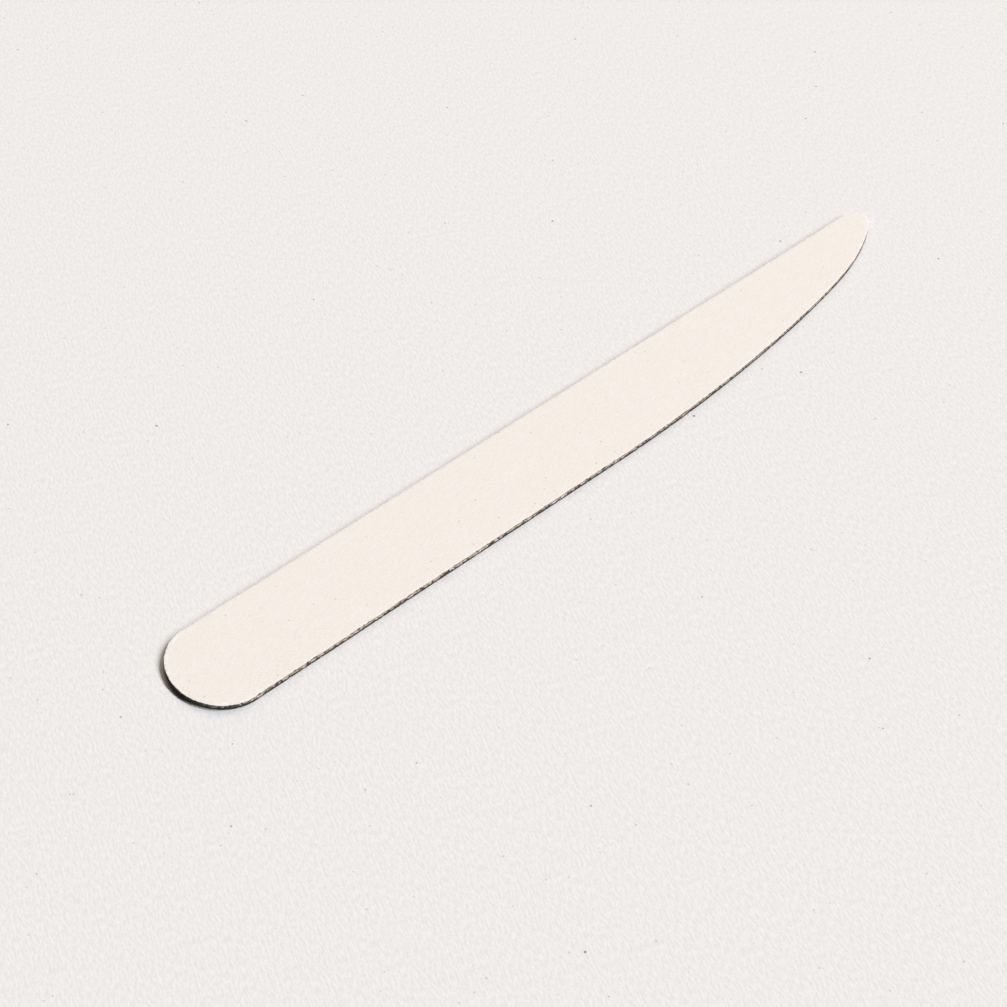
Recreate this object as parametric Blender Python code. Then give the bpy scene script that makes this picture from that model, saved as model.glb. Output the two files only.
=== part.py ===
"""Nail file: abrasive sheets glued to both faces of a board core and cut to one outline.

Units are metres. +X runs from the round butt to the narrow tip, +Y towards the straight back, +Z up.
The origin is below the middle of the file, on the surface that it lies on.
"""
from math import cos, radians, sin

import bmesh
import bpy

# Outline, seen from above
LENGTH = 0.1780
WIDTH = 0.0199
BUTT_NOSE = 0.0085
BELLY_LENGTH = 0.0855

# The turn is the point where the long belly steepens towards the tip
TURN_LENGTH = 0.0142
TURN_DEPTH = 0.0116
TURN_SLOPE = radians(17.6)

# The tip's round, from its nose up to the back and along the back
TIP_DEPTH = 0.0031
TIP_ROUND = 0.0034

# Handles of the outline, as shares of the stretch that each one shapes
QUARTER_ROUND_SHARE = 0.5523
BELLY_START_SHARE = 0.447
BELLY_END_SHARE = 0.140
TURN_START_SHARE = 0.456
TURN_END_SHARE = 0.303

# Layers of the laminate
GRIT_COAT = 0.00012
BACKING_PAPER = 0.00013
GLUE_FILM = 0.00004
CORE_BOARD = 0.00045

# What the cutting rule leaves at the edge: each grit coat rolled over, the soft glue drawn back
ROLLED_EDGE = 0.00008
GLUE_SETBACK = 0.00005

# Fineness of the curves
STEPS_PER_CURVE = 24
STEPS_PER_ROLL = 3
ROUND_PROFILE_SHARE = 0.5
WELD_DISTANCE = 0.000001
SHARP_ANGLE = radians(35)

# Colour, roughness and metallic value of each material
FINISHES = {
    "cream_grit": ((0.88, 0.82, 0.74), 0.92, 0.0),
    "kraft_paper": ((0.36, 0.28, 0.20), 0.85, 0.0),
    "glue": ((0.62, 0.55, 0.42), 0.45, 0.0),
    "tan_board": ((0.58, 0.49, 0.38), 0.90, 0.0),
}


def clear_objects():
    for old in list(bpy.data.objects):
        bpy.data.objects.remove(old, do_unlink=True)


def make_material(name):
    colour, roughness, metallic = FINISHES[name]
    material = bpy.data.materials.new(name)
    material.use_nodes = True
    shader = material.node_tree.nodes["Principled BSDF"]
    shader.inputs["Base Color"].default_value = (*colour, 1.0)
    shader.inputs["Roughness"].default_value = roughness
    shader.inputs["Metallic"].default_value = metallic
    return material


def outline_points():
    """The seven points of the outline: (point, handle before it, handle after it).

    A handle of None leaves a straight run. The order is counter-clockwise, from the butt's nose.
    """
    butt = -LENGTH / 2
    tip = LENGTH / 2
    back = WIDTH / 2
    belly = -WIDTH / 2

    sides_start = butt + BUTT_NOSE
    butt_rise = QUARTER_ROUND_SHARE * WIDTH / 2
    butt_reach = QUARTER_ROUND_SHARE * BUTT_NOSE

    belly_start = tip - BELLY_LENGTH
    turn = tip - TURN_LENGTH
    turn_height = back - TURN_DEPTH
    belly_reach = BELLY_START_SHARE * (turn - belly_start)
    into_turn = BELLY_END_SHARE * (turn - belly_start)
    out_of_turn = TURN_START_SHARE * TURN_LENGTH

    nose_height = back - TIP_DEPTH
    nose_drop = TURN_END_SHARE * (TURN_DEPTH - TIP_DEPTH)
    nose_rise = QUARTER_ROUND_SHARE * TIP_DEPTH
    back_end = tip - TIP_ROUND
    back_reach = QUARTER_ROUND_SHARE * TIP_ROUND

    return [
        ((butt, 0), (butt, butt_rise), (butt, -butt_rise)),
        ((sides_start, belly), (sides_start - butt_reach, belly), None),
        ((belly_start, belly), None, (belly_start + belly_reach, belly)),
        ((turn, turn_height),
         (turn - into_turn * cos(TURN_SLOPE), turn_height - into_turn * sin(TURN_SLOPE)),
         (turn + out_of_turn * cos(TURN_SLOPE), turn_height + out_of_turn * sin(TURN_SLOPE))),
        ((tip, nose_height), (tip, nose_height - nose_drop), (tip, nose_height + nose_rise)),
        ((back_end, back), (back_end + back_reach, back), None),
        ((sides_start, back), None, (sides_start - butt_reach, back)),
    ]


def set_handle(point, side, place):
    if place is None:
        setattr(point, f"handle_{side}_type", "VECTOR")
    else:
        setattr(point, f"handle_{side}_type", "FREE")
        setattr(point, f"handle_{side}", (*place, 0))


def outline_curve(name, thickness, setback):
    """The file's outline as a filled 2D curve, half the thickness to each side of its plane.

    Its edge lies inside the outline by the setback.
    """
    curve = bpy.data.curves.new(name, "CURVE")
    curve.dimensions = "2D"
    curve.fill_mode = "BOTH"
    curve.resolution_u = STEPS_PER_CURVE
    curve.extrude = thickness / 2
    curve.offset = -setback
    spline = curve.splines.new("BEZIER")
    spline.use_cyclic_u = True
    points = outline_points()
    spline.bezier_points.add(len(points) - 1)
    for point, (place, before, after) in zip(spline.bezier_points, points):
        point.co = (*place, 0)
        set_handle(point, "left", before)
        set_handle(point, "right", after)
    return curve


def add_layer(name, thickness, setback, underside, material, collection):
    """One flat layer of the laminate, its lower face at the height underside."""
    layer = bpy.data.objects.new(name, outline_curve(name, thickness, setback))
    layer.location.z = underside + thickness / 2
    layer.data.materials.append(material)
    collection.objects.link(layer)
    return layer


def as_mesh(layer):
    """Replace a curve layer by a closed mesh object of the same name and place."""
    name = layer.name
    bpy.context.view_layer.update()
    evaluated = layer.evaluated_get(bpy.context.evaluated_depsgraph_get())
    mesh = bpy.data.meshes.new_from_object(evaluated)
    solid = bpy.data.objects.new(name, mesh)
    solid.matrix_world = layer.matrix_world
    for collection in layer.users_collection:
        collection.objects.link(solid)
    bpy.data.objects.remove(layer, do_unlink=True)
    solid.name = name

    shape = bmesh.new()
    shape.from_mesh(mesh)
    bmesh.ops.remove_doubles(shape, verts=shape.verts, dist=WELD_DISTANCE)
    shape.to_mesh(mesh)
    shape.free()
    return solid


def roll_edge(layer, outer):
    """Round the rim of a layer's outer face, which looks up where outer is 1 and down where it is -1."""
    solid = as_mesh(layer)
    shape = bmesh.new()
    shape.from_mesh(solid.data)
    rim = []
    for edge in shape.edges:
        slopes = sorted(round(face.normal.z) * outer for face in edge.link_faces)
        if slopes == [0, 1]:
            rim.append(edge)
    bmesh.ops.bevel(shape, geom=rim, offset=ROLLED_EDGE, segments=STEPS_PER_ROLL,
                    profile=ROUND_PROFILE_SHARE, affect="EDGES", clamp_overlap=True)
    shape.to_mesh(solid.data)
    shape.free()
    solid.data.shade_smooth()
    solid.data.set_sharp_from_angle(angle=SHARP_ANGLE)


def build():
    clear_objects()
    collection = bpy.data.collections.new("nail_file")
    bpy.context.scene.collection.children.link(collection)
    materials = {name: make_material(name) for name in FINISHES}

    # Name, thickness, setback and finish of each layer, from the underside up
    stack = [
        ("bottom_grit_coat", GRIT_COAT, 0, "cream_grit"),
        ("bottom_backing_paper", BACKING_PAPER, 0, "kraft_paper"),
        ("bottom_glue_film", GLUE_FILM, GLUE_SETBACK, "glue"),
        ("core_board", CORE_BOARD, 0, "tan_board"),
        ("top_glue_film", GLUE_FILM, GLUE_SETBACK, "glue"),
        ("top_backing_paper", BACKING_PAPER, 0, "kraft_paper"),
        ("top_grit_coat", GRIT_COAT, 0, "cream_grit"),
    ]
    layers = {}
    height = 0
    for name, thickness, setback, finish in stack:
        layers[name] = add_layer(name, thickness, setback, height, materials[finish], collection)
        height += thickness
    roll_edge(layers["bottom_grit_coat"], -1)
    roll_edge(layers["top_grit_coat"], 1)


build()
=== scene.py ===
"""The nail file's looks: its ragged cut edge, gritty faces, finishes, and the table, lamps and camera."""
import random
from math import atan2, cos, pi, radians, sin

import bpy
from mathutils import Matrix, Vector, kdtree, noise
from mathutils.geometry import delaunay_2d_cdt


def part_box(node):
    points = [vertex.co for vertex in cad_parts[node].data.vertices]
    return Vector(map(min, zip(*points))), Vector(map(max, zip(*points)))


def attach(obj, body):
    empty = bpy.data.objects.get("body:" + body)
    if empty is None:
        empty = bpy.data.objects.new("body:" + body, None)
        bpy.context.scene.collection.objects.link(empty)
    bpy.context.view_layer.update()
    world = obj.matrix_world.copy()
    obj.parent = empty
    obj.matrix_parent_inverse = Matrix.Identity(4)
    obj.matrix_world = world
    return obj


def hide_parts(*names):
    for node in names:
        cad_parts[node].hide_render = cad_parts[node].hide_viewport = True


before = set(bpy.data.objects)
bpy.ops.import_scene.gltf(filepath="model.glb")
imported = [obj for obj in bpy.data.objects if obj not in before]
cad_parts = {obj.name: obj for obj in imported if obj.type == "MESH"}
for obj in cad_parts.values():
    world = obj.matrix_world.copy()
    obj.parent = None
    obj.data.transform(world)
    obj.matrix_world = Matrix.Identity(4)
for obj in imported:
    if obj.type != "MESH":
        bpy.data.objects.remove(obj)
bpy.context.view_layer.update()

MM = 0.001

# Camera of the photograph: a long lens, looking down across the butt towards the tip
CAMERA_PLACE = (-0.20713, -0.20986, 0.28345)
CAMERA_PITCH = radians(45.504)
CAMERA_TURN = radians(-42.243)
LENS_MM = 79.692
SENSOR_MM = 36

# Lamps: two soft boxes beyond the tip, in a faint even room light
LAMP_HEIGHT = 30
STRIP_BOX = {"ahead": (0.72, 0.86), "across": (-2.1, -0.2), "power": 48500, "tone": (0.90, 0.948, 1.0)}
WIDE_BOX = {"ahead": (0.43, 1.7), "across": (0.12, 3.3), "power": 32400, "tone": (1.0, 0.87, 0.72)}
ROOM_LIGHT = 0.012

# The table reaches far to each side, and fades into the room between two distances
TABLE_REACH = 4
ROOM_FADE = (0.4, 1.2)

# Fineness of the modelled edge and faces
EDGE_STEP = 0.15 * MM
GRAIN_STEP = 0.4 * MM
TANGENT_REACH = 3
SMOOTH_ANGLE = radians(50)

# Corners of the CAD outline: how near the top they lie, and the decimals that tell them apart
TOP_NEARNESS = 0.01 * MM
CORNER_DIGITS = 7

# The cut edge: how far things lie inside the outline
EDGE_CLEARANCE = 0.004 * MM
WANDER_DEPTH = 0.018 * MM
WANDER_SIZE = 5 * MM
SHOULDER_DEPTH = 0.09 * MM
SHOULDER_FOOT_SHARE = 0.45
BUTT_FADE = (-88 * MM, -76 * MM)
TIP_FADE = (80 * MM, -20 * MM)

# Fraying of the cut edges: its sizes, its shares of a layer's depth of fray, and the depths
FRAY_SIZE = 0.7 * MM
FIBRE_LENGTH = 0.25 * MM
FIBRE_HEIGHT = 0.07 * MM
FRAY_MEAN_SHARE = 0.5
FRAY_SHARE = 0.35
FIBRE_SHARE = 0.25
PAPER_FRAY = 0.04 * MM
GLUE_FRAY = 0.02 * MM
BOARD_FRAY = 0.05 * MM
GLUE_SETBACK = 0.03 * MM

# Rows of points up the cut edge of each kind of layer
PAPER_ROWS = 3
GLUE_ROWS = 2
BOARD_ROWS = 9

# Torn spots in the board's edge
TEAR_SPACING = 2.2 * MM
TEAR_WIDTHS = (0.15 * MM, 0.42 * MM)
TEAR_DEPTHS = (0.06 * MM, 0.18 * MM)
TEAR_HEIGHTS = (0.18 * MM, 0.36 * MM)
TEAR_TOP_SHARE = 0.8

# Nicks in the rims of the two faces, which run out towards the middle of the thickness
NICK_SPACING = 4 * MM
NICK_WIDTHS = (0.15 * MM, 0.34 * MM)
NICK_DEPTHS = (0.06 * MM, 0.18 * MM)
NICK_RISE = (0.08 * MM, 0.42 * MM)
DIRTY_NICK = 0.09 * MM

# Chips in the rims of the two faces
CHIP_DEPTH = 0.13 * MM
CHIP_SIZE = 2.4 * MM
FINE_CHIP_DEPTH = 0.05 * MM
FINE_CHIP_SIZE = 0.8 * MM
RIM_FRAY = 0.03 * MM
TOP_CHIPPING = 1.0
BOTTOM_CHIPPING = 0.4

# The abrasive face
ROLLED_EDGE = 0.03 * MM
ROLL_STEPS = 4
GRAIN_SCATTER_SHARE = 0.3
RIM_GAP_SHARE = 0.6
GRAIN_RELIEF = 0.006 * MM
GRAIN_LUMP = 0.55 * MM
SWELL_RELIEF = 0.010 * MM
SWELL_SIZE = 7 * MM
RIM_WIDTH = 2.4 * MM

# The filling of an outline with triangles: only inside it, and points this close count as one
FILL_INSIDE = 1
SAME_POINT = 0.000001

# Seeds: one for all random draws, and one more for each thing that varies by itself
SEED = 11
SCATTER_SALT = 1
WANDER_SALT = 3
SWELL_SALT = 5
FIBRE_SALT = 40
FINE_CHIP_SALT = 60
SALTS = {
    "top_grit_coat": 21,
    "top_backing_paper": 22,
    "top_glue_film": 23,
    "core_board": 24,
    "bottom_glue_film": 25,
    "bottom_backing_paper": 26,
    "bottom_grit_coat": 27,
}

# Tones
CREAM_DEEP = (0.832, 0.763, 0.681)
CREAM_PALE = (0.941, 0.873, 0.801)
ROSY_DEEP = (0.837, 0.765, 0.705)
ROSY_PALE = (0.946, 0.878, 0.825)
RIM_HIGHLIGHT_TONE = (0.930, 0.895, 0.845)
RUST = (0.60, 0.42, 0.33)
DARK_GRAIN = (0.55, 0.47, 0.38)
# Dark tone for dirt, and for painted shade on the foot of the cut edge and on the butt's end
GRIME_AND_SHADE = (0.036, 0.031, 0.026)
PAPER_DEEP = (0.27, 0.20, 0.14)
PAPER_PALE = (0.52, 0.405, 0.285)
GLUE_DEEP = (0.28, 0.22, 0.16)
GLUE_PALE = (0.40, 0.33, 0.24)
BOARD_DEEP = (0.37, 0.285, 0.205)
BOARD_PALE = (0.95, 0.83, 0.71)
TABLE_DEEP = (0.802, 0.772, 0.752)
TABLE_PALE = (0.903, 0.875, 0.861)
DUST = (0.26, 0.20, 0.17)
ROOM_TONE = (0.871, 0.843, 0.818)
NO_COLOUR = (0, 0, 0)

# Roughness of each finish
GRIT_ROUGHNESS = 0.92
PAPER_ROUGHNESS = 0.85
GLUE_ROUGHNESS = 0.5
BOARD_ROUGHNESS = 0.9
TABLE_ROUGHNESS = 0.9

# Strength of each bump, and the relief that it stands for
GRIT_BUMP = (0.35, 0.03 * MM)
CUT_BUMP = (0.5, 0.04 * MM)
TABLE_BUMP = (0.4, 0.08 * MM)

# Grain: the octaves of its noise, the values of the noise that its tones run between, and its uses
GRAIN_OCTAVES = 3
STRAND_OCTAVES = 2
NOISE_MIDDLE = 0.5
TONE_RANGE = (0.32, 0.68)
MOTTLE_RANGE = (0.3, 0.7)
GRIT_GRAIN = {"Grain Size": 0.26 * MM, "Strand Share": 0.28}
TABLE_GRAIN = {
    "Grain Size": 0.4 * MM,
    "Strand Length": 1.2 * MM,
    "Strand Width": 0.4 * MM,
    "Strand Turn": radians(68),
    "Strand Share": 0.65,
}

# Flecks: the least radius against the one asked for, the solid share of it, and where they are used
LEAST_FLECK = 0.6
SOLID_SHARE = 0.5
RUST_FLECKS = {"Spacing": 1.2 * MM, "Radius": 0.11}
RUST_SHARE = 0.28
DARK_GRAIN_SHARE = 0.6
FAINT_SPECKS = {"Spacing": 2.4 * MM, "Share": 0.5, "Radius": 0.07}
FAINT_SHARE = 0.36
DUST_FLECKS = {"Spacing": 5 * MM, "Share": 0.35, "Radius": 0.042}
DUST_SHARE = 0.85

# Painted highlight in patches near the rim of the face, at the butt
PATCH_SIZE = 2.2 * MM
PATCH_RANGE = (0.38, 0.48)
PATCH_FADE = (-76 * MM, -84 * MM)

# Painted contact shade on the cut edge: the dark foot, its height, sway and fading, and the sharpness of
# its rim
SLOW_SIZE = 3 * MM
FOOT_HEIGHT = 0.5 * MM
FOOT_SWAY = 0.7 * MM
FOOT_LUMP = (0.8 * MM, 0.6 * MM)
FOOT_OCTAVES = 4
FADE_ABOVE = 0.2 / MM
FADE_BELOW = 2.0 / MM
FOOT_RANGE = (0.53, 0.58)
FOOT_SHARE = 0.97

# Dirt of the cut edge: knots in it, and pits that stay below the upper rim
KNOT_LUMP = (0.43 * MM, 0.38 * MM)
KNOT_OCTAVES = 2
KNOT_FADE = 0.12 / MM
KNOT_RANGE = (0.59, 0.625)
PIT_FLECKS = {"Spacing": 1.6 * MM, "Radius": 0.23}
PIT_FADE = (1.0 * MM, 0.7 * MM)

# Painted shade on the butt's dark end, which faces away from the lamps, and dirt of the cut edge on the
# greyer side near the tip
BUTT_SHADE_FADE = (-79 * MM, -87 * MM)
BUTT_SHADE_SPECKLE = -30 * MM
BUTT_SHADE_SHARE = 0.9
WORN_FADE = (-5 * MM, 25 * MM)
WORN_SWAY = 4 * MM
WORN_SHARE = 0.24

# Fibres and flakes of the cut edge, along and up
FIBRE_LUMP = (0.9 * MM, 0.12 * MM)
FIBRE_OCTAVES = 3
FIBRE_RANGE = (0.35, 0.65)
FIBRE_TONE_SHARE = 0.35
FLAKE_LUMP = (0.6 * MM, 0.26 * MM)
FLAKE_RANGE = (0.44, 0.64)
FLAKE_TONE_SHARE = 0.65


def outline_corners(node):
    """The corners of a node's upper face, in order round the file."""
    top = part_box(node)[1].z
    corners = {}
    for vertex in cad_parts[node].data.vertices:
        if vertex.co.z > top - TOP_NEARNESS:
            key = (round(vertex.co.x, CORNER_DIGITS), round(vertex.co.y, CORNER_DIGITS))
            corners[key] = Vector((vertex.co.x, vertex.co.y))
    return sorted(corners.values(), key=lambda corner: atan2(corner.y, corner.x))


def even_points(corners, step):
    """Points about a step apart along the closed line through the corners."""
    spans = [(b - a).length for a, b in zip(corners, corners[1:] + corners[:1])]
    count = round(sum(spans) / step)
    pitch = sum(spans) / count
    points = []
    span = 0
    done = 0.0
    for i in range(count):
        target = i * pitch
        while done + spans[span] < target:
            done += spans[span]
            span += 1
        a = corners[span]
        b = corners[(span + 1) % len(corners)]
        points.append(a.lerp(b, (target - done) / spans[span]))
    return points


def inward_directions(points):
    """The unit direction into the file at each point of its outline."""
    count = len(points)
    ways = []
    for i in range(count):
        along = points[(i + TANGENT_REACH) % count] - points[i - TANGENT_REACH]
        ways.append(Vector((-along.y, along.x)).normalized())
    return ways


OUTLINE = even_points(outline_corners("core_board"), EDGE_STEP)
INWARD = inward_directions(OUTLINE)
COUNT = len(OUTLINE)
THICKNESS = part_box("top_grit_coat")[1].z


def wobble(place, size, salt, height=0.0, height_size=MM):
    """Smooth noise from -1 to 1 that changes over about the size along, and the height size up."""
    return noise.noise(Vector((place.x / size, place.y / size, height / height_size + salt)))


def wobble_up(place, size, salt):
    """The same noise from 0 to 1."""
    return (1 + wobble(place, size, salt)) / 2


def grown(value, start, end):
    """0 at the start, 1 at the end, in step with the value between them."""
    return min(1, max(0, (value - start) / (end - start)))


def cut_line(place, height):
    """How far the cut lies inside the outline: a slow wander, and a shoulder worn between the ends."""
    wander = wobble_up(place, WANDER_SIZE, WANDER_SALT)
    rise = grown(height / THICKNESS, SHOULDER_FOOT_SHARE, 1)
    worn = grown(place.x, *BUTT_FADE) * grown(place.x, *TIP_FADE)
    return EDGE_CLEARANCE + WANDER_DEPTH * wander + SHOULDER_DEPTH * worn * rise * rise


def fray(place, height, depth, salt):
    """The fine unevenness of one layer's cut edge, from about 0 to the depth."""
    coarse = wobble(place, FRAY_SIZE, salt, height)
    fine = wobble(place, FIBRE_LENGTH, salt + FIBRE_SALT, height, FIBRE_HEIGHT)
    return depth * (FRAY_MEAN_SHARE + FRAY_SHARE * coarse + FIBRE_SHARE * fine)


def torn_spots(heights, spacing, widths, depth_range, salt):
    """How deep the edge is torn at each height and outline point, by torn spots at random places."""
    chance = random.Random(SEED + salt)
    depths = [[0.0] * COUNT for _ in heights]
    low = heights[0]
    high = heights[-1]
    for _ in range(round(COUNT * EDGE_STEP / spacing)):
        middle = chance.randrange(COUNT)
        width = chance.uniform(*widths)
        depth = chance.uniform(*depth_range)
        centre = chance.uniform(low, low + (high - low) * TEAR_TOP_SHARE)
        tall = chance.uniform(*TEAR_HEIGHTS)
        reach = int(width / EDGE_STEP)
        for row, height in enumerate(heights):
            rise = (height - centre) / tall
            for step in range(-reach, reach + 1):
                run = step * EDGE_STEP / width
                share = max(0, 1 - run * run - rise * rise)
                i = (middle + step) % COUNT
                depths[row][i] = max(depths[row][i], depth * share)
    return depths


TOP_NICKS = torn_spots([0.0], NICK_SPACING, NICK_WIDTHS, NICK_DEPTHS, SALTS["top_grit_coat"])[0]
BOTTOM_NICKS = torn_spots([0.0], NICK_SPACING, NICK_WIDTHS, NICK_DEPTHS, SALTS["bottom_grit_coat"])[0]


def nick_depths(height):
    """How deep the nicks of the nearer face are at each outline point, at a height in the side."""
    from_middle = height - THICKNESS / 2
    nicks = TOP_NICKS if from_middle > 0 else BOTTOM_NICKS
    share = grown(abs(from_middle), *NICK_RISE)
    return [share * nick for nick in nicks]


def nick_mark(nick):
    """How far a nick is filled with dirt, from 0 to 1."""
    return min(1, nick / DIRTY_NICK)


def ring(height, insets):
    """The outline's points at a height, each moved in by its inset."""
    return [(*(place + way * inset), height) for place, way, inset in zip(OUTLINE, INWARD, insets)]


def wall_faces(rings):
    """Quads between rings that are listed from the lowest up."""
    faces = []
    for row in range(rings - 1):
        low = row * COUNT
        high = low + COUNT
        for i in range(COUNT):
            j = (i + 1) % COUNT
            faces.append((low + i, low + j, high + j, high + i))
    return faces


def add_attribute(mesh, name, values):
    mesh.attributes.new(name, "FLOAT", "POINT").data.foreach_set("value", values)


def add_piece(name, points, faces, material, node, **attributes):
    """A mesh piece that stands for a CAD node. Each attribute is one number a vertex."""
    mesh = bpy.data.meshes.new(name)
    mesh.from_pydata(points, [], faces)
    mesh.materials.append(material)
    mesh.shade_smooth()
    mesh.set_sharp_from_angle(angle=SMOOTH_ANGLE)
    for label, values in attributes.items():
        add_attribute(mesh, label, values)
    piece = bpy.data.objects.new(name, mesh)
    bpy.context.collection.objects.link(piece)
    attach(piece, "root")
    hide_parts(node)
    return piece


def cut_layer(node, material, rows, depth, setback=0.0, torn=False):
    """One inner layer of the laminate, with an uneven cut edge of the given depth."""
    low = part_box(node)[0].z
    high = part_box(node)[1].z
    salt = SALTS[node]
    heights = [low + (high - low) * row / (rows - 1) for row in range(rows)]
    tears = [[0.0] * COUNT for _ in heights]
    if torn:
        tears = torn_spots(heights, TEAR_SPACING, TEAR_WIDTHS, TEAR_DEPTHS, salt)
    points = []
    marks = []
    for height, tear in zip(heights, tears):
        nicks = nick_depths(height)
        insets = [
            cut_line(place, height) + fray(place, height, depth, salt) + setback + hole + nick
            for place, hole, nick in zip(OUTLINE, tear, nicks)
        ]
        points += ring(height, insets)
        marks += [max(hole / TEAR_DEPTHS[1], nick_mark(nick)) for hole, nick in zip(tear, nicks)]
    faces = wall_faces(rows)
    faces.append(tuple(range(COUNT - 1, -1, -1)))
    faces.append(tuple(range((rows - 1) * COUNT, rows * COUNT)))
    return add_piece(f"{node}_cut", points, faces, material, node, tear=marks)


def grain_places(rim):
    """Scattered places on a face, a grain step apart, clear of its rim, and how near the rim each is."""
    tree = kdtree.KDTree(COUNT)
    for i, (x, y, _) in enumerate(rim):
        tree.insert((x, y, 0), i)
    tree.balance()
    chance = random.Random(SEED + SCATTER_SALT)
    low = Vector((min(point[0] for point in rim), min(point[1] for point in rim)))
    high = Vector((max(point[0] for point in rim), max(point[1] for point in rim)))
    row_step = GRAIN_STEP * sin(pi / 3)
    places = []
    nearness = []
    for row in range(round((high.y - low.y) / row_step)):
        shift = (row % 2) / 2
        for column in range(round((high.x - low.x) / GRAIN_STEP)):
            across = chance.uniform(-GRAIN_SCATTER_SHARE, GRAIN_SCATTER_SHARE)
            x = low.x + (column + shift + across) * GRAIN_STEP
            up = chance.uniform(-GRAIN_SCATTER_SHARE, GRAIN_SCATTER_SHARE)
            y = low.y + (row + up) * row_step
            _, i, gap = tree.find((x, y, 0))
            inside = (Vector((x, y)) - Vector(rim[i][:2])).dot(INWARD[i]) > 0
            if inside and gap > GRAIN_STEP * RIM_GAP_SHARE:
                places.append((x, y))
                nearness.append(max(0, 1 - gap / RIM_WIDTH))
    return places, nearness


def face_depth(x, y, salt):
    """How far the abrasive face lies below its highest grains."""
    place = Vector((x, y))
    grain = wobble_up(place, GRAIN_LUMP, salt)
    swell = wobble_up(place, SWELL_SIZE, salt + SWELL_SALT)
    return GRAIN_RELIEF * grain + SWELL_RELIEF * swell


def chip_depth(place, salt):
    """How deep the rim of an abrasive coat is chipped."""
    chip = CHIP_DEPTH * max(0, wobble(place, CHIP_SIZE, salt))
    fine_chip = FINE_CHIP_DEPTH * max(0, wobble(place, FINE_CHIP_SIZE, salt + FINE_CHIP_SALT))
    return chip + fine_chip + fray(place, 0, RIM_FRAY, salt)


def fill(rim, places, first):
    """Triangles over a rim and the places inside it. The rim's points are numbered from first on."""
    flat = [Vector((x / MM, y / MM)) for x, y, _ in rim] + [Vector((x / MM, y / MM)) for x, y in places]
    border = list(range(COUNT))
    filled = delaunay_2d_cdt(flat, [], [border], FILL_INSIDE, SAME_POINT, True)
    _, _, triangles, origins, _, _ = filled
    return [tuple(first + origins[corner][0] for corner in triangle) for triangle in triangles]


def grit_coat(node, material, outer, chipping):
    """An abrasive coat: a gritty face with a rolled edge. It looks up where outer is 1, down where -1."""
    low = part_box(node)[0].z
    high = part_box(node)[1].z
    face, back = (high, low) if outer > 0 else (low, high)
    salt = SALTS[node]
    outer_height = THICKNESS if outer > 0 else 0
    nicks = nick_depths(back)
    edge = [
        cut_line(place, outer_height) + chipping * chip_depth(place, salt) + nick
        for place, nick in zip(OUTLINE, nicks)
    ]
    points = ring(back, edge)
    for step in range(ROLL_STEPS + 1):
        turn = pi / 2 * step / ROLL_STEPS
        inset = ROLLED_EDGE * (1 - cos(turn))
        height = face - outer * ROLLED_EDGE * (1 - sin(turn))
        points += ring(height, [depth + inset for depth in edge])
    rings = ROLL_STEPS + 2
    rim = points[-COUNT:]
    places, nearness = grain_places(rim)
    faces = fill(rim, places, (rings - 1) * COUNT)
    points += [(x, y, face) for x, y in places]
    for i in range(COUNT, len(points)):
        x, y, z = points[i]
        points[i] = (x, y, z - outer * face_depth(x, y, salt))

    # Seen from above, the triangles have to turn the same way as the outline
    a, b, c = (Vector(points[i][:2]) for i in faces[0])
    if (b - a).cross(c - a) < 0:
        faces = [corners[::-1] for corners in faces]
    faces += wall_faces(rings)
    faces.append(tuple(range(COUNT - 1, -1, -1)))
    # The rings of the lower coat run down instead of up, which turns all its faces inside out
    if outer < 0:
        faces = [corners[::-1] for corners in faces]

    walls = [1.0] * (2 * COUNT)
    for step in range(1, ROLL_STEPS + 1):
        walls += [1 - step / ROLL_STEPS] * COUNT
    walls += [0.0] * len(places)
    rims = [1.0] * (rings * COUNT) + nearness
    tears = [nick_mark(nick) for nick in nicks] * rings + [0.0] * len(places)
    tears = [tear * wall for tear, wall in zip(tears, walls)]
    return add_piece(f"{node}_gritty", points, faces, material, node, rim=rims, wall=walls, tear=tears)


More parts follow.
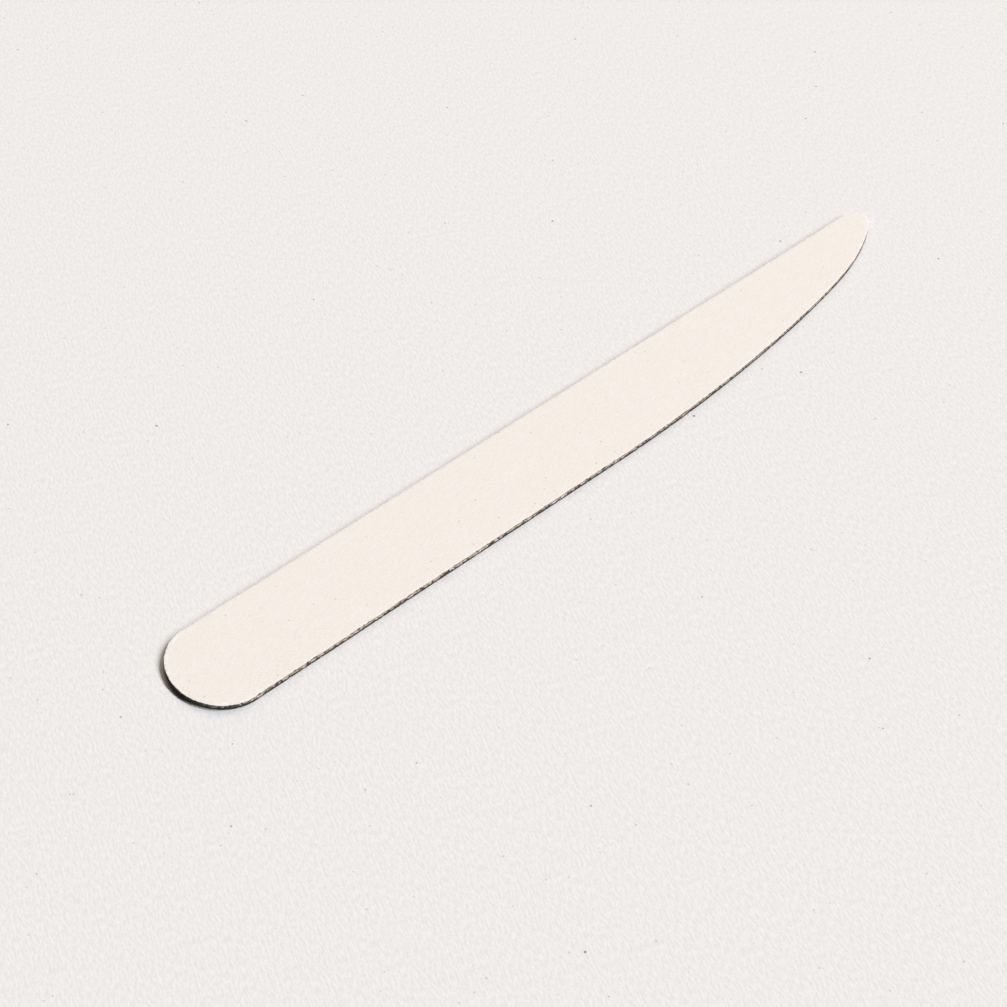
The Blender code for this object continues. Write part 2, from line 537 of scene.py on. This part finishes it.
class Plan:
    """A node tree being laid out. Most calls add a node and give its output."""

    def __init__(self, tree):
        self.tree = tree

    def node(self, kind, inputs=(), **settings):
        made = self.tree.nodes.new(kind)
        for name, value in settings.items():
            setattr(made, name, value)
        for name, value in dict(inputs).items():
            self.feed(made.inputs[name], value)
        return made

    def feed(self, socket, value):
        if isinstance(value, bpy.types.NodeSocket):
            self.tree.links.new(value, socket)
        else:
            socket.default_value = value

    def math(self, operation, a, b=0.0):
        made = self.node("ShaderNodeMath", operation=operation)
        self.feed(made.inputs[0], a)
        self.feed(made.inputs[1], b)
        return made.outputs[0]

    def sum(self, a, b):
        return self.math("ADD", a, b)

    def less(self, a, b):
        return self.math("SUBTRACT", a, b)

    def times(self, a, b):
        return self.math("MULTIPLY", a, b)

    def place(self):
        return self.node("ShaderNodeTexCoord").outputs["Object"]

    def vector(self, x, y, z):
        return self.node("ShaderNodeCombineXYZ", {"X": x, "Y": y, "Z": z}).outputs["Vector"]

    def axis(self, place, name):
        return self.node("ShaderNodeSeparateXYZ", {"Vector": place}).outputs[name]

    def lumps(self, place, length, height, octaves=2.0):
        """Noise in lumps of a length along and a height up."""
        made = self.node("ShaderNodeVectorMath", operation="MULTIPLY")
        self.feed(made.inputs[0], place)
        self.feed(made.inputs[1], (1 / length, 1 / length, 1 / height))
        return self.noise(made.outputs[0], 1.0, octaves)

    def noise(self, place, scale=1.0, octaves=2.0):
        inputs = {"Vector": place, "Scale": scale, "Detail": octaves}
        return self.node("ShaderNodeTexNoise", inputs).outputs["Fac"]

    def rise(self, value, low, high):
        """0 below low, 1 above high and smooth between them. With low above high it falls."""
        made = self.node("ShaderNodeMapRange", interpolation_type="SMOOTHSTEP")
        for name, given in (("Value", value), ("From Min", low), ("From Max", high)):
            self.feed(made.inputs[name], given)
        return made.outputs["Result"]

    def blend(self, share, a, b):
        """Colour a where the share is 0, colour b where it is 1."""
        made = self.node("ShaderNodeMix", data_type="RGBA")
        self.feed(made.inputs["Factor"], share)
        ends = [socket for socket in made.inputs if socket.type == "RGBA"]
        for socket, colour in zip(ends, (a, b)):
            self.feed(socket, colour if isinstance(colour, bpy.types.NodeSocket) else (*colour, 1))
        return [socket for socket in made.outputs if socket.type == "RGBA"][0]

    def bump(self, height, strength, distance):
        inputs = {"Height": height, "Strength": strength, "Distance": distance}
        return self.node("ShaderNodeBump", inputs).outputs["Normal"]

    def mark(self, name):
        """A number that the mesh holds at each of its points."""
        return self.node("ShaderNodeAttribute", attribute_name=name).outputs["Fac"]

    def group(self, tree, inputs=()):
        made = self.node("ShaderNodeGroup", node_tree=tree)
        for name, value in dict(inputs).items():
            self.feed(made.inputs[name], value)
        return made.outputs


def new_group(name, inputs, outputs):
    """A node group with number sockets: (its plan, the values put in, the socket of each result)."""
    tree = bpy.data.node_groups.new(name, "ShaderNodeTree")
    for label, value in inputs.items():
        socket = tree.interface.new_socket(name=label, in_out="INPUT", socket_type="NodeSocketFloat")
        socket.default_value = value
    for label in outputs:
        tree.interface.new_socket(name=label, in_out="OUTPUT", socket_type="NodeSocketFloat")
    plan = Plan(tree)
    given = plan.node("NodeGroupInput").outputs
    results = plan.node("NodeGroupOutput").inputs
    return plan, given, results


def grain_group():
    """Fine grain, strands and mottling. Tone and Mottle run from 0 to 1, and Height is for a bump."""
    inputs = {
        "Grain Size": 0.3 * MM,
        "Strand Length": 1.3 * MM,
        "Strand Width": 0.22 * MM,
        "Strand Turn": radians(21),
        "Strand Share": 0.4,
        "Mottle Size": 1.6 * MM,
    }
    plan, given, results = new_group("grain", inputs, ["Tone", "Mottle", "Height"])
    place = plan.place()
    turn = plan.vector(0, 0, given["Strand Turn"])
    sizes = plan.vector(given["Strand Length"], given["Strand Width"], given["Strand Width"])
    inputs = {"Vector": place, "Rotation": turn, "Scale": sizes}
    turned = plan.node("ShaderNodeMapping", inputs, vector_type="TEXTURE").outputs["Vector"]
    grains = plan.noise(place, plan.math("DIVIDE", 1, given["Grain Size"]), GRAIN_OCTAVES)
    strands = plan.noise(turned, 1, STRAND_OCTAVES)
    soft = plan.noise(place, plan.math("DIVIDE", 1, given["Mottle Size"]), GRAIN_OCTAVES)
    share = given["Strand Share"]
    fine = plan.sum(plan.times(grains, plan.less(1, share)), plan.times(strands, share))
    plan.feed(results["Tone"], plan.rise(fine, *TONE_RANGE))
    plan.feed(results["Mottle"], plan.rise(soft, *MOTTLE_RANGE))
    plan.feed(results["Height"], fine)
    return plan.tree


def fleck_group():
    """Sparse round flecks: Fleck is 1 on a fleck and 0 elsewhere. The radius is counted in spacings."""
    inputs = {"Spacing": 2 * MM, "Share": 0.8, "Radius": 0.085}
    plan, given, results = new_group("flecks", inputs, ["Fleck"])
    inputs = {"Vector": plan.place(), "Scale": plan.math("DIVIDE", 1, given["Spacing"])}
    cells = plan.node("ShaderNodeTexVoronoi", inputs)
    chosen = plan.axis(cells.outputs["Color"], "X")
    size = plan.axis(cells.outputs["Color"], "Y")
    radius = plan.times(given["Radius"], plan.sum(LEAST_FLECK, size))
    near = plan.rise(cells.outputs["Distance"], radius, plan.times(radius, SOLID_SHARE))
    kept = plan.math("LESS_THAN", chosen, given["Share"])
    plan.feed(results["Fleck"], plan.times(near, kept))
    return plan.tree


def stain_and_shade_group():
    """Dirt, painted shade and fibres of the cut edge, each from 0 to 1.

    Foot is the dark lower band, painted contact shade, with its knots and pits; the butt's end is darkened
    by painted shade; Worn is the tip's side.
    """
    outputs = ["Foot", "Butt Shade", "Worn", "Fibre", "Flake"]
    plan, given, results = new_group("edge_stain_and_shade", {"Foot Height": FOOT_HEIGHT}, outputs)
    place = plan.place()
    height = plan.axis(place, "Z")
    along = plan.axis(place, "X")

    # The dark foot: painted contact shade along the lower part of the cut edge
    sway = plan.less(plan.lumps(place, SLOW_SIZE, SLOW_SIZE), NOISE_MIDDLE)
    foot_top = plan.sum(given["Foot Height"], plan.times(sway, FOOT_SWAY))
    over = plan.less(height, foot_top)
    above = plan.math("MAXIMUM", over, 0)
    below = plan.math("MINIMUM", over, 0)
    thinning = plan.sum(plan.times(above, FADE_ABOVE), plan.times(below, FADE_BELOW))
    foot = plan.rise(plan.less(plan.lumps(place, *FOOT_LUMP, FOOT_OCTAVES), thinning), *FOOT_RANGE)

    spots = plan.lumps(place, *KNOT_LUMP, KNOT_OCTAVES)
    knots = plan.rise(plan.less(spots, plan.times(above, KNOT_FADE)), *KNOT_RANGE)
    pits = plan.times(plan.group(FLECKS, PIT_FLECKS)["Fleck"], plan.rise(height, *PIT_FADE))
    plan.feed(results["Foot"], plan.math("MAXIMUM", foot, plan.math("MAXIMUM", knots, pits)))

    # The butt's end: painted shade where the cut edge faces away from the lamps
    speckled = plan.sum(along, plan.times(plan.less(spots, NOISE_MIDDLE), BUTT_SHADE_SPECKLE))
    plan.feed(results["Butt Shade"], plan.rise(speckled, *BUTT_SHADE_FADE))
    plan.feed(results["Worn"], plan.rise(plan.sum(along, plan.times(sway, WORN_SWAY)), *WORN_FADE))
    plan.feed(results["Fibre"], plan.lumps(place, *FIBRE_LUMP, FIBRE_OCTAVES))
    plan.feed(results["Flake"], plan.rise(plan.lumps(place, *FLAKE_LUMP), *FLAKE_RANGE))
    return plan.tree


GRAIN = grain_group()
FLECKS = fleck_group()
STAIN_AND_SHADE = stain_and_shade_group()


def new_material(name, roughness):
    """A new node material: (material, its plan, its Principled BSDF)."""
    material = bpy.data.materials.new(name)
    material.use_nodes = True
    shader = material.node_tree.nodes["Principled BSDF"]
    shader.inputs["Roughness"].default_value = roughness
    return material, Plan(material.node_tree), shader


def stained_and_shaded(plan, colour, share=1.0):
    """The colour with the dirt and painted shade of the cut edge over it, as much as the share says."""
    stain_and_shade = plan.group(STAIN_AND_SHADE)
    # Worn is dirt; the butt's end and the foot are painted shade
    for name, most in (("Worn", WORN_SHARE), ("Butt Shade", BUTT_SHADE_SHARE), ("Foot", FOOT_SHARE)):
        colour = plan.blend(plan.times(plan.times(stain_and_shade[name], most), share), colour, GRIME_AND_SHADE)
    return colour


def abrasive_finish():
    """Cream abrasive: fine grain, faint mottling, patches of painted highlight at the butt's rim, rust and
    dark grains, a rim with dirt and painted shade.
    """
    material, plan, shader = new_material("cream_abrasive", GRIT_ROUGHNESS)
    grain = plan.group(GRAIN, GRIT_GRAIN)
    yellow = plan.blend(grain["Tone"], CREAM_DEEP, CREAM_PALE)
    pink = plan.blend(grain["Tone"], ROSY_DEEP, ROSY_PALE)
    colour = plan.blend(grain["Mottle"], yellow, pink)
    place = plan.place()
    # Painted highlight: paler patches near the rim at the butt
    patches = plan.times(plan.mark("rim"), plan.lumps(place, PATCH_SIZE, PATCH_SIZE))
    at_butt = plan.rise(plan.axis(place, "X"), *PATCH_FADE)
    painted_highlight = plan.times(plan.rise(patches, *PATCH_RANGE), at_butt)
    colour = plan.blend(painted_highlight, colour, RIM_HIGHLIGHT_TONE)
    rust = plan.group(FLECKS, RUST_FLECKS)
    colour = plan.blend(plan.times(rust["Fleck"], RUST_SHARE), colour, RUST)
    dark_grains = plan.group(FLECKS)
    colour = plan.blend(plan.times(dark_grains["Fleck"], DARK_GRAIN_SHARE), colour, DARK_GRAIN)
    # The coat's rolled rim takes the same dirt and painted shade as the cut edge
    colour = stained_and_shaded(plan, colour, plan.mark("wall"))
    colour = plan.blend(plan.mark("tear"), colour, GRIME_AND_SHADE)
    plan.feed(shader.inputs["Base Color"], colour)
    plan.feed(shader.inputs["Normal"], plan.bump(grain["Height"], *GRIT_BUMP))
    return material


def layer_finish(name, deep, pale, roughness):
    """A layer seen at its cut edge: long fibres and flakes between two tones, torn spots, dirt and painted
    shade.
    """
    material, plan, shader = new_material(name, roughness)
    stain_and_shade = plan.group(STAIN_AND_SHADE)
    fibres = plan.times(plan.rise(stain_and_shade["Fibre"], *FIBRE_RANGE), FIBRE_TONE_SHARE)
    flakes = plan.times(stain_and_shade["Flake"], FLAKE_TONE_SHARE)
    colour = plan.blend(plan.sum(fibres, flakes), deep, pale)
    colour = plan.blend(plan.mark("tear"), colour, GRIME_AND_SHADE)
    plan.feed(shader.inputs["Base Color"], stained_and_shaded(plan, colour))
    plan.feed(shader.inputs["Normal"], plan.bump(stain_and_shade["Fibre"], *CUT_BUMP))
    return material


def seen_rays(plan):
    """1 for what the camera sees, straight, mirrored or through glass, and 0 for the light's own rays."""
    path = plan.node("ShaderNodeLightPath").outputs
    seen = plan.math("MAXIMUM", path["Is Camera Ray"], path["Is Glossy Ray"])
    return plan.math("MAXIMUM", seen, path["Is Transmission Ray"])


def table_finish():
    """A pale grained table top with specks and dust. Far away it shows the tone of the room instead."""
    material, plan, shader = new_material("table", TABLE_ROUGHNESS)
    shader.inputs["Specular IOR Level"].default_value = 0
    plan.feed(shader.inputs["Emission Strength"], seen_rays(plan))
    grain = plan.group(GRAIN, TABLE_GRAIN)
    colour = plan.blend(grain["Tone"], TABLE_DEEP, TABLE_PALE)
    specks = plan.group(FLECKS, FAINT_SPECKS)
    colour = plan.blend(plan.times(specks["Fleck"], FAINT_SHARE), colour, DUST)
    dust = plan.group(FLECKS, DUST_FLECKS)
    colour = plan.blend(plan.times(dust["Fleck"], DUST_SHARE), colour, DUST)
    away = plan.node("ShaderNodeVectorMath", operation="LENGTH")
    plan.feed(away.inputs[0], plan.place())
    far = plan.rise(away.outputs["Value"], *ROOM_FADE)
    plan.feed(shader.inputs["Base Color"], plan.blend(far, colour, NO_COLOUR))
    plan.feed(shader.inputs["Emission Color"], plan.blend(far, NO_COLOUR, ROOM_TONE))
    plan.feed(shader.inputs["Normal"], plan.bump(grain["Height"], *TABLE_BUMP))
    return material


def add_camera():
    data = bpy.data.cameras.new("camera")
    data.lens = LENS_MM
    data.sensor_width = SENSOR_MM
    camera = bpy.data.objects.new("camera", data)
    camera.location = CAMERA_PLACE
    camera.rotation_euler = (radians(90) - CAMERA_PITCH, 0, CAMERA_TURN)
    bpy.context.collection.objects.link(camera)
    bpy.context.scene.camera = camera


def add_table():
    reach = TABLE_REACH
    corners = [(-reach, -reach, 0), (reach, -reach, 0), (reach, reach, 0), (-reach, reach, 0)]
    mesh = bpy.data.meshes.new("table")
    mesh.from_pydata(corners, [], [(0, 1, 2, 3)])
    mesh.materials.append(table_finish())
    table = bpy.data.objects.new("table", mesh)
    bpy.context.collection.objects.link(table)


def add_soft_box(name, ahead, across, power, tone):
    """A level rectangle of light. Where it starts and ends, ahead and across, is counted in its height."""
    lamp = bpy.data.lights.new(name, "AREA")
    lamp.shape = "RECTANGLE"
    lamp.size = (ahead[1] - ahead[0]) * LAMP_HEIGHT
    lamp.size_y = (across[1] - across[0]) * LAMP_HEIGHT
    lamp.energy = power
    lamp.color = tone
    holder = bpy.data.objects.new(name, lamp)
    middle = Vector((sum(ahead) / 2, sum(across) / 2, 1))
    holder.location = middle * LAMP_HEIGHT
    holder.visible_camera = False
    bpy.context.collection.objects.link(holder)


def add_room():
    """A faint even light from all round. The camera and reflections see a pale room instead."""
    room = bpy.data.worlds.new("room")
    room.use_nodes = True
    plan = Plan(room.node_tree)
    strength = plan.sum(plan.times(seen_rays(plan), 1 - ROOM_LIGHT), ROOM_LIGHT)
    background = room.node_tree.nodes["Background"]
    background.inputs["Color"].default_value = (*ROOM_TONE, 1)
    plan.feed(background.inputs["Strength"], strength)
    bpy.context.scene.world = room


def add_laminate():
    """The seven layers, from the top down."""
    cream = abrasive_finish()
    paper = layer_finish("brown_paper", PAPER_DEEP, PAPER_PALE, PAPER_ROUGHNESS)
    glue = layer_finish("dried_glue", GLUE_DEEP, GLUE_PALE, GLUE_ROUGHNESS)
    board = layer_finish("tan_board", BOARD_DEEP, BOARD_PALE, BOARD_ROUGHNESS)
    grit_coat("top_grit_coat", cream, 1, TOP_CHIPPING)
    cut_layer("top_backing_paper", paper, PAPER_ROWS, PAPER_FRAY)
    cut_layer("top_glue_film", glue, GLUE_ROWS, GLUE_FRAY, setback=GLUE_SETBACK)
    cut_layer("core_board", board, BOARD_ROWS, BOARD_FRAY, torn=True)
    cut_layer("bottom_glue_film", glue, GLUE_ROWS, GLUE_FRAY, setback=GLUE_SETBACK)
    cut_layer("bottom_backing_paper", paper, PAPER_ROWS, PAPER_FRAY)
    grit_coat("bottom_grit_coat", cream, -1, BOTTOM_CHIPPING)


add_camera()
add_table()
add_soft_box("strip_box", **STRIP_BOX)
add_soft_box("wide_box", **WIDE_BOX)
add_room()
add_laminate()
bpy.context.scene.view_settings.view_transform = "Standard"
